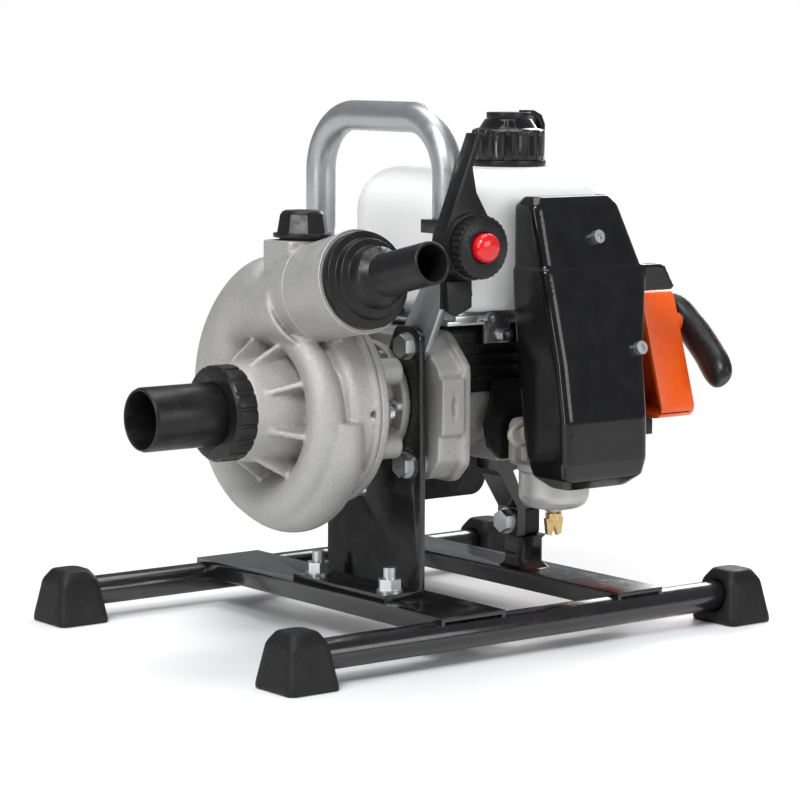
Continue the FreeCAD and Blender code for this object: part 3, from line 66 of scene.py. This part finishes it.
# ---- camera, light and floor -----------------------------------------------------------------
def add_camera():
    azimuth, elevation, roll = (math.radians(a) for a in (37.695, 6.864, 0.283))
    ahead = Vector((math.sin(azimuth) * math.cos(elevation), math.cos(azimuth) * math.cos(elevation),
                    -math.sin(elevation)))
    right = Vector((math.cos(azimuth), -math.sin(azimuth), 0))
    up = right.cross(ahead)
    right, up = (right * math.cos(roll) + up * math.sin(roll), up * math.cos(roll) - right * math.sin(roll))
    camera = bpy.data.objects.new("camera", bpy.data.cameras.new("camera"))
    bpy.context.collection.objects.link(camera)
    turn = Matrix((right, up, -ahead)).transposed()
    camera.matrix_world = Matrix.Translation((-1.1095, -1.4387, 0.3623)) @ turn.to_4x4()
    camera.data.lens = 130.49
    camera.data.sensor_width = 36
    camera.data.clip_start, camera.data.clip_end = 0.1, 20
    bpy.context.scene.camera = camera


def add_area(name, at, size, power, colour=(1, 1, 1)):
    light = bpy.data.lights.new(name, "AREA")
    light.shape, light.size, light.size_y = "RECTANGLE", size[0], size[1]
    light.energy, light.color = power, colour
    lamp = bpy.data.objects.new(name, light)
    bpy.context.collection.objects.link(lamp)
    lamp.location = at
    lamp.rotation_mode = "QUATERNION"
    lamp.rotation_quaternion = (Vector((0, 0, 0.15)) - Vector(at)).to_track_quat("-Z", "Y")


def add_studio():
    """White backdrop, dimmer light all round, and four soft boxes."""
    world = bpy.data.worlds.new("studio")
    bpy.context.scene.world = world
    world.use_nodes = True
    nodes, links = world.node_tree.nodes, world.node_tree.links
    around = nodes["Background"]
    around.inputs["Color"].default_value = (0.95, 0.97, 1.0, 1)
    around.inputs["Strength"].default_value = 0.27
    backdrop = nodes.new("ShaderNodeBackground")
    backdrop.inputs["Color"].default_value = (1, 1, 1, 1)
    chooser, path = nodes.new("ShaderNodeMixShader"), nodes.new("ShaderNodeLightPath")
    links.new(path.outputs["Is Camera Ray"], chooser.inputs["Fac"])
    links.new(around.outputs[0], chooser.inputs[1])
    links.new(backdrop.outputs[0], chooser.inputs[2])
    links.new(chooser.outputs[0], nodes["World Output"].inputs["Surface"])
    add_area("key", (-1.5, -1.0, 1.9), (0.9, 0.9), 46)
    add_area("strip", (-2.2, -0.5, 0.8), (0.22, 1.8), 12)
    add_area("front", (0.6, -2.3, 0.8), (1.4, 0.9), 15)
    add_area("rim", (1.6, 0.9, 1.2), (0.7, 1.6), 24)
    add_area("top", (0.1, 0.2, 2.2), (1.4, 1.4), 22)
    bpy.context.scene.view_settings.view_transform = "Standard"


def add_floor():
    """Pale floor that brightens to the backdrop's white away from the object."""
    mesh = bpy.data.meshes.new("floor")
    bm = bmesh.new()
    bmesh.ops.create_grid(bm, x_segments=8, y_segments=8, size=6)
    bm.to_mesh(mesh)
    bm.free()
    floor = bpy.data.objects.new("floor", mesh)
    bpy.context.collection.objects.link(floor)
    floor.location.z = -0.0002
    surface = Surface("studio_floor", (0.90, 0.905, 0.91), 0.5)
    surface.tint((0.87, 0.875, 0.88), 3, 0.5)
    distance = surface.add("ShaderNodeVectorMath", operation="LENGTH")
    surface.link(surface.place, distance.inputs[0])
    glow = surface.add("ShaderNodeEmission")
    fade = surface.add("ShaderNodeMixShader")
    surface.link(surface.ramp(distance.outputs["Value"], 0, 1, (0.20, 0.75)), fade.inputs["Fac"])
    surface.link(surface.shader.outputs[0], fade.inputs[1])
    surface.link(glow.outputs[0], fade.inputs[2])
    surface.link(fade.outputs[0], surface.tree.nodes["Material Output"].inputs["Surface"])
    mesh.materials.append(surface.material)


# ---- materials -------------------------------------------------------------------------------
class Surface:
    """A principled material with procedural colour, roughness and relief, in metres."""

    def __init__(self, name, colour, roughness, **sockets):
        self.name = name
        self.material = bpy.data.materials.new(name)
        self.material.use_nodes = True
        self.tree = self.material.node_tree
        self.shader = self.tree.nodes["Principled BSDF"]
        self.shader.inputs["Base Color"].default_value = (*colour, 1)
        self.shader.inputs["Roughness"].default_value = roughness
        for key, value in sockets.items():
            self.shader.inputs[key.replace("_", " ")].default_value = value
        self.colour = colour
        self.place = self.add("ShaderNodeTexCoord").outputs["Object"]
        self.normal = None

    def add(self, kind, **values):
        node = self.tree.nodes.new(kind)
        for key, value in values.items():
            setattr(node, key, value)
        return node

    def link(self, a, b):
        self.tree.links.new(a, b)

    def noise(self, scale, detail=3.0, rough=0.55, stretch=(1, 1, 1)):
        place = self.place
        if stretch != (1, 1, 1):
            mapping = self.add("ShaderNodeMapping")
            mapping.inputs["Scale"].default_value = stretch
            self.link(place, mapping.inputs["Vector"])
            place = mapping.outputs["Vector"]
        node = self.add("ShaderNodeTexNoise")
        node.inputs["Scale"].default_value = scale
        node.inputs["Detail"].default_value = detail
        node.inputs["Roughness"].default_value = rough
        self.link(place, node.inputs["Vector"])
        return node.outputs["Fac"]

    def ramp(self, value, low, high, at=(0.35, 0.65)):
        node = self.add("ShaderNodeMapRange")
        node.inputs["From Min"].default_value, node.inputs["From Max"].default_value = at
        node.inputs["To Min"].default_value, node.inputs["To Max"].default_value = low, high
        self.link(value, node.inputs["Value"])
        return node.outputs["Result"]

    def tint(self, other, scale, amount=1.0, detail=4.0, at=(0.35, 0.65)):
        """Second colour mixed in by noise."""
        mix = self.add("ShaderNodeMix", data_type="RGBA")
        source = self.shader.inputs["Base Color"]
        if source.is_linked:
            self.link(source.links[0].from_socket, mix.inputs[6])
        else:
            mix.inputs[6].default_value = source.default_value
        mix.inputs[7].default_value = (*other, 1)
        self.link(self.ramp(self.noise(scale, detail), 0, amount, at), mix.inputs["Factor"])
        self.link(mix.outputs[2], source)
        return self

    def polish(self, low, high, scale, stretch=(1, 1, 1)):
        """Roughness that varies by noise."""
        self.link(self.ramp(self.noise(scale, 4, 0.6, stretch), low, high), self.shader.inputs["Roughness"])
        return self

    def relief(self, scale, depth, strength=1.0, detail=3.0, stretch=(1, 1, 1), source=None):
        """Bump by noise, or by a given value; depth in metres."""
        bump = self.add("ShaderNodeBump")
        bump.inputs["Strength"].default_value = strength
        bump.inputs["Distance"].default_value = depth
        self.link(source or self.noise(scale, detail, 0.6, stretch), bump.inputs["Height"])
        if self.normal:
            self.link(self.normal, bump.inputs["Normal"])
        self.normal = bump.outputs["Normal"]
        self.link(self.normal, self.shader.inputs["Normal"])
        return self

    def edge_wear_and_painted_shade(self, colour, low=0.52, high=0.58, amount=0.6):
        """Another colour by pointiness: worn colour along convex edges, or painted shade in hollows where
        high is below low.
        """
        pointed = self.add("ShaderNodeNewGeometry").outputs["Pointiness"]
        mix = self.add("ShaderNodeMix", data_type="RGBA")
        source = self.shader.inputs["Base Color"]
        if source.is_linked:
            self.link(source.links[0].from_socket, mix.inputs[6])
        else:
            mix.inputs[6].default_value = source.default_value
        mix.inputs[7].default_value = (*colour, 1)
        self.link(self.ramp(pointed, 0, amount, (low, high)), mix.inputs["Factor"])
        self.link(mix.outputs[2], source)
        return self


def make_metals():
    cast = Surface("cast_alloy", (0.36, 0.355, 0.34), 0.52, Metallic=0.5)
    cast.tint((0.29, 0.285, 0.27), 22, 0.7).tint((0.50, 0.495, 0.475), 1300, 0.7)
    cast.polish(0.42, 0.58, 90).relief(1300, 0.0005, 0.75, 4).relief(140, 0.0005, 0.2)
    cast.edge_wear_and_painted_shade((0.58, 0.575, 0.56), 0.53, 0.62, 0.5)
    # Painted shade: a near-black colour in the hollows, where pointiness is low, stands in for the shade
    # that falls there.
    cast.edge_wear_and_painted_shade((0.10, 0.098, 0.092), 0.485, 0.42, 0.75)
    silver = Surface("silver_paint", (0.40, 0.41, 0.42), 0.36, Metallic=0.85)
    silver.tint((0.34, 0.35, 0.36), 35, 0.6).tint((0.5, 0.51, 0.53), 1500, 0.5)
    silver.polish(0.3, 0.42, 160).relief(1200, 0.0002, 0.25)
    zinc = Surface("zinc_steel", (0.60, 0.61, 0.62), 0.32, Metallic=0.95)
    zinc.tint((0.52, 0.52, 0.51), 60, 0.5).polish(0.27, 0.40, 150).relief(500, 0.00003, 0.2)
    satin = Surface("satin_zinc", (0.50, 0.50, 0.49), 0.42, Metallic=0.6)
    satin.tint((0.43, 0.43, 0.42), 80, 0.5).polish(0.36, 0.5, 200).relief(900, 0.00015, 0.3)
    steel = Surface("bright_steel", (0.56, 0.56, 0.57), 0.25, Metallic=1.0)
    steel.tint((0.46, 0.46, 0.47), 110, 0.5).polish(0.16, 0.34, 500, (1, 1, 12)).relief(2200, 0.00015, 0.3)
    dark = Surface("dark_steel", (0.010, 0.010, 0.010), 0.5, Metallic=0.3)
    dark.tint((0.022, 0.020, 0.018), 45, 0.6).polish(0.5, 0.75, 200).relief(700, 0.0004, 0.35)
    brass = Surface("brass", (0.70, 0.50, 0.22), 0.28, Metallic=1.0)
    brass.tint((0.50, 0.34, 0.16), 160, 0.6).polish(0.2, 0.42, 400).relief(1800, 0.0002, 0.3)
    return [cast, silver, zinc, satin, steel, dark, brass]


def make_blacks():
    paint = Surface("black_paint", (0.005, 0.005, 0.0055), 0.2, Coat_Weight=0.35, Coat_Roughness=0.08)
    paint.tint((0.012, 0.012, 0.013), 40, 0.7).polish(0.14, 0.28, 120)
    paint.relief(320, 0.0003, 0.2).relief(45, 0.0006, 0.12)
    rubber = Surface("rubber", (0.006, 0.006, 0.0065), 0.55, Specular_IOR_Level=0.28)
    rubber.tint((0.013, 0.013, 0.0135), 55, 0.7).polish(0.46, 0.62, 300)
    rubber.relief(1100, 0.0003, 0.3).relief(80, 0.0006, 0.15)
    plastic = Surface("black_plastic", (0.005, 0.005, 0.0055), 0.36, Specular_IOR_Level=0.32)
    plastic.tint((0.011, 0.011, 0.0115), 70, 0.7).polish(0.28, 0.42, 220)
    plastic.relief(1500, 0.0002, 0.25).relief(120, 0.0004, 0.12)
    gloss = Surface("gloss_black", (0.003, 0.003, 0.0035), 0.14, Specular_IOR_Level=0.35, Coat_Weight=0.25,
                    Coat_Roughness=0.05)
    gloss.tint((0.007, 0.007, 0.0075), 60, 0.6).polish(0.1, 0.2, 110)
    gloss.relief(150, 0.0003, 0.14).relief(22, 0.0012, 0.1)
    foam = Surface("foam", (0.06, 0.06, 0.065), 0.9)
    foam.tint((0.02, 0.02, 0.02), 1100, 0.9).relief(1100, 0.001, 0.9)
    return [paint, rubber, plastic, gloss, foam]


def make_colours():
    orange = Surface("orange_plastic", (0.84, 0.105, 0.008), 0.3)
    orange.tint((0.74, 0.085, 0.008), 45, 0.5).polish(0.24, 0.36, 160)
    orange.relief(1300, 0.0002, 0.15).relief(60, 0.0005, 0.1)
    red = Surface("red_plastic", (0.70, 0.006, 0.010), 0.18, Coat_Weight=0.3)
    red.tint((0.58, 0.005, 0.008), 120, 0.5).polish(0.13, 0.24, 300).relief(400, 0.0001, 0.12)
    tank = Surface("tank_plastic", (0.88, 0.88, 0.865), 0.38, Subsurface_Weight=0.5, Subsurface_Scale=0.01,
                   Subsurface_Radius=(1.0, 0.96, 0.9))
    tank.tint((0.82, 0.82, 0.80), 25, 0.6).polish(0.32, 0.46, 120)
    tank.relief(260, 0.0002, 0.2).relief(18, 0.0015, 0.15)
    hose = Surface("clear_hose", (0.55, 0.54, 0.48), 0.15, Transmission_Weight=0.55)
    hose.tint((0.42, 0.40, 0.34), 90, 0.6).polish(0.1, 0.22, 300).relief(500, 0.0002, 0.2)
    rope = Surface("rope", (0.70, 0.69, 0.65), 0.75)
    rope.tint((0.5, 0.49, 0.46), 900, 0.7, 2).relief(1400, 0.0006, 0.8, 2, (0.4, 1, 1))
    return [orange, red, tank, hose, rope]


def make_materials():
    return {s.name: s for s in make_metals() + make_blacks() + make_colours()}


# ---- mesh helpers ----------------------------------------------------------------------------
def finish_piece(obj, body, slot, nodes=(), sharp=True, look=None):
    obj.data.materials.clear()
    obj.data.materials.append(MATERIALS[look or slot].material)
    for polygon in obj.data.polygons:
        polygon.use_smooth = True
    if sharp:
        obj.data.set_sharp_from_angle(angle=SMOOTH_ANGLE)
    if body:
        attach(obj, body)
    if nodes:
        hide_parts(*nodes)
    return obj


def new_piece(name, bm, body, slot, nodes=(), sharp=True):
    mesh = bpy.data.meshes.new(name)
    bmesh.ops.recalc_face_normals(bm, faces=bm.faces)
    bm.to_mesh(mesh)
    bm.free()
    obj = bpy.data.objects.new(name, mesh)
    bpy.context.collection.objects.link(obj)
    return finish_piece(obj, body, slot, nodes, sharp)


def copy_node(node, name):
    """A new object with the CAD node's shape, welded and with its flat faces joined."""
    bm = bmesh.new()
    bm.from_mesh(NODES[node].data)
    bmesh.ops.remove_doubles(bm, verts=bm.verts, dist=2e-5)
    bmesh.ops.dissolve_limit(bm, angle_limit=math.radians(0.6), verts=bm.verts, edges=bm.edges)
    mesh = bpy.data.meshes.new(name)
    bm.to_mesh(mesh)
    bm.free()
    obj = bpy.data.objects.new(name, mesh)
    bpy.context.collection.objects.link(obj)
    return obj


def apply_modifiers(obj):
    depsgraph = bpy.context.evaluated_depsgraph_get()
    mesh = bpy.data.meshes.new_from_object(obj.evaluated_get(depsgraph))
    obj.modifiers.clear()
    old, obj.data = obj.data, mesh
    bpy.data.meshes.remove(old)
    return obj


def rounded_copy(node, name, width, segments):
    """A copy of the node with its sharp edges rounded; width is in millimetres."""
    obj = copy_node(node, name)
    bevel = obj.modifiers.new("bevel", "BEVEL")
    bevel.width, bevel.segments = width * MM, segments
    bevel.limit_method, bevel.angle_limit = "ANGLE", BEVEL_ANGLE
    return apply_modifiers(obj)


def bevelled(node, width=0.5, segments=2):
    obj = rounded_copy(node, node + "_shape", width, segments)
    return finish_piece(obj, BODY_OF[node], SLOT_OF[node], [node])


def skin(bm, rows, loop=False):
    """Joins rings of vertices into a tube; loop joins the last ring to the first in place of end caps."""
    pairs = list(zip(rows, rows[1:]))
    if loop:
        pairs.append((rows[-1], rows[0]))
    faces = [bm.faces.new((near[k - 1], near[k], far[k], far[k - 1]))
             for near, far in pairs for k in range(len(near))]
    if not loop:
        faces += [bm.faces.new(rows[0]), bm.faces.new(rows[-1])]
    return faces


def add_snail_ring(bm):
    """Adds the snail's raised front ring to bm; turn is 0 at -Y and grows by way of the bottom."""
    around = 24
    rows = []
    for degrees in range(-84, 171, 6):
        turn = math.radians(degrees)
        growth = max(turn, 0)
        section = 0.0115 + 0.0030 * growth + 0.0022 * min(turn, 0)
        centre_r = 0.0460 + 0.0108 * (1 - math.cos(growth))
        outward = Vector((0, -math.cos(turn), -math.sin(turn)))
        centre = Vector((SNAIL_FRONT + section, PUMP_AXIS.y, PUMP_AXIS.z)) + outward * centre_r
        row = []
        for k in range(around):
            a = 2 * math.pi * k / around
            across = Vector((section * math.sin(a), 0, 0))
            row.append(bm.verts.new(centre + outward * section * math.cos(a) + across))
        rows.append(row)
    bmesh.ops.recalc_face_normals(bm, faces=skin(bm, rows))


def cast(node, look, voxel=1.2, rounds=4, extra=None):
    """The node with every edge softened, as casting or moulding leaves it; extra adds to its mesh."""
    obj = copy_node(node, node + "_shape")
    if extra:
        bm = bmesh.new()
        bm.from_mesh(obj.data)
        extra(bm)
        bm.to_mesh(obj.data)
        bm.free()
    remesh = obj.modifiers.new("remesh", "REMESH")
    remesh.mode, remesh.voxel_size = "VOXEL", voxel * MM
    smooth = obj.modifiers.new("smooth", "SMOOTH")
    smooth.factor, smooth.iterations = 0.5, rounds
    apply_modifiers(obj)
    return finish_piece(obj, BODY_OF[node], SLOT_OF[node], [node], sharp=False, look=look)


# ---- detail pieces ---------------------------------------------------------------------------
def ring_mesh(bm, centre, axis, radius, section, segments=96, around=8):
    """Adds a torus to bm; section is its tube's radius."""
    turn = Vector((0, 0, 1)).rotation_difference(Vector(axis)).to_matrix()
    rows = []
    for i in range(segments):
        a = 2 * math.pi * i / segments
        out = Vector((math.cos(a), math.sin(a), 0))
        row = []
        for k in range(around):
            b = 2 * math.pi * k / around
            point = out * (radius + section * math.cos(b)) + Vector((0, 0, section * math.sin(b)))
            row.append(bm.verts.new(Vector(centre) + turn @ point))
        rows.append(row)
    skin(bm, rows, loop=True)


def block_mesh(bm, centre, size, turn, round_off):
    """Adds a box with rounded edges to bm; size is its full width on each axis."""
    made = bmesh.ops.create_cube(bm, size=1)["verts"]
    bmesh.ops.scale(bm, vec=size, verts=made)
    edges = list({e for v in made for e in v.link_edges})
    rounded = bmesh.ops.bevel(bm, geom=edges, offset=round_off, segments=2, profile=0.5, affect="EDGES")
    verts = list({v for f in rounded["faces"] for v in f.verts} | {v for v in made if v.is_valid})
    bmesh.ops.rotate(bm, cent=(0, 0, 0), matrix=turn, verts=verts)
    bmesh.ops.translate(bm, vec=centre, verts=verts)


def dial_marks():
    """Fine raised ticks on the friction knob's face."""
    lo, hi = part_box("throttle_dial")
    centre = (lo + hi) / 2
    count, radius, tick = 24, 0.0145, (0.0028, 0.0009, 0.0006)
    bm = bmesh.new()
    for i in range(count):
        a = 2 * math.pi * i / count
        at = Vector((centre.x + radius * math.cos(a), lo.y + 0.00035, centre.z + radius * math.sin(a)))
        block_mesh(bm, at, tick, Matrix.Rotation(-a, 3, "Y"), 0.0001)
    new_piece("dial_ticks", bm, "dial", SLOT_OF["throttle_dial"])


def rope_piece():
    """Three-strand rope that stretches between the starter and the grip."""
    lo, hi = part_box("starter_rope")
    y, z, radius = (lo.y + hi.y) / 2, (lo.z + hi.z) / 2, (hi.z - lo.z) / 2
    steps, around, lay = 48, 18, 0.009
    bm = bmesh.new()
    rows = []
    for i in range(steps + 1):
        x = lo.x + (hi.x - lo.x) * i / steps
        twist = (x - lo.x) / lay * 2 * math.pi
        row = []
        for k in range(around):
            a = 2 * math.pi * k / around
            r = radius * (0.86 + 0.14 * abs(math.cos(1.5 * (a - twist))))
            row.append(bm.verts.new((x, y + r * math.cos(a), z + r * math.sin(a))))
        rows.append(row)
    skin(bm, rows)
    rope = new_piece("pull_rope", bm, None, "rope", ["starter_rope"])
    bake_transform(rope)


def strap_piece():
    """Cap keeper."""
    strap = rounded_copy("cap_strap", "cap_keeper", 0.5, 2)
    finish_piece(strap, None, SLOT_OF["cap_strap"], ["cap_strap"])
    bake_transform(strap)


def cap_studs():
    """Rounded studs round the cap's skirt, between the flutes."""
    lo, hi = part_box("fuel_cap")
    centre, radius = (lo + hi) / 2, (hi.x - lo.x) / 2 - 0.0014
    bm = bmesh.new()
    for i in range(18):
        a = math.radians(20 * i + 10)
        place = Matrix.Translation((centre.x + radius * math.cos(a), centre.y + radius * math.sin(a),
                                    lo.z + 0.017))
        bmesh.ops.create_uvsphere(bm, u_segments=12, v_segments=8, radius=0.0021, matrix=place)
    new_piece("cap_skirt_studs", bm, "cap", SLOT_OF["fuel_cap"], sharp=False)


def outlet_seams():
    """Mould seam and step rings round the discharge pipe, by distance from abreast of the pump axis."""
    axis = Vector((0, -math.cos(OUTLET_TILT), math.sin(OUTLET_TILT)))
    across = Vector((0, math.sin(OUTLET_TILT), math.cos(OUTLET_TILT)))
    abreast = PUMP_AXIS + across * OUTLET_RISE + Vector((VOLUTE_X, 0, 0))
    bm = bmesh.new()
    for distance, radius, section in ((0.0835, 0.0309, 0.0006), (0.078, 0.0305, 0.0005),
                                      (0.044, 0.0298, 0.0005)):
        ring_mesh(bm, abreast + axis * distance, axis, radius - section * 0.4, section)
    new_piece("outlet_seam_rings", bm, "frame", "cast_alloy", sharp=False)


# ---- the object ------------------------------------------------------------------------------
MATERIALS = make_materials()
SLOT_OF = {s["node"]: s["material_slot"] for s in frame["record"]["subparts"]}
SOFT_EDGED = ("starter_housing", "muffler", "cooling_shroud")
CRISP_EDGED = ("mounting_plate", "pump_crossbar", "engine_crossbar", "suction_collar", "discharge_barb",
               "priming_plug", "suction_barb", "carry_handle", "throttle_lever", "throttle_clamp",
               "throttle_dial", "stop_button", "fuel_cap", "tank_bracket", "starter_base", "carburettor",
               "skid_rails")
add_camera()
add_studio()
add_floor()
for node, obj in NODES.items():
    obj.data.materials.clear()
    obj.data.materials.append(MATERIALS[SLOT_OF[node]].material)
cast("volute_casing", "cast_alloy", 1.1, 5, add_snail_ring)
for node in ("pump_back_cover", "fan_housing", "crankcase_front", "crankcase_rear"):
    cast(node, "cast_alloy", 1.1, 3)
cast("rubber_feet", "rubber", 1.4, 10)
cast("fuel_tank", "tank_plastic", 1.6, 8)
cast("pull_grip", "black_plastic", 0.8, 4)
cast("air_cleaner_cover", "gloss_black", 1.0, 10)
cast("float_bowl", "satin_zinc", 0.7, 3)
for node in SOFT_EDGED:
    bevelled(node, 1.1, 3)
for node in CRISP_EDGED:
    bevelled(node)
dial_marks()
cap_studs()
outlet_seams()
rope_piece()
strap_piece()
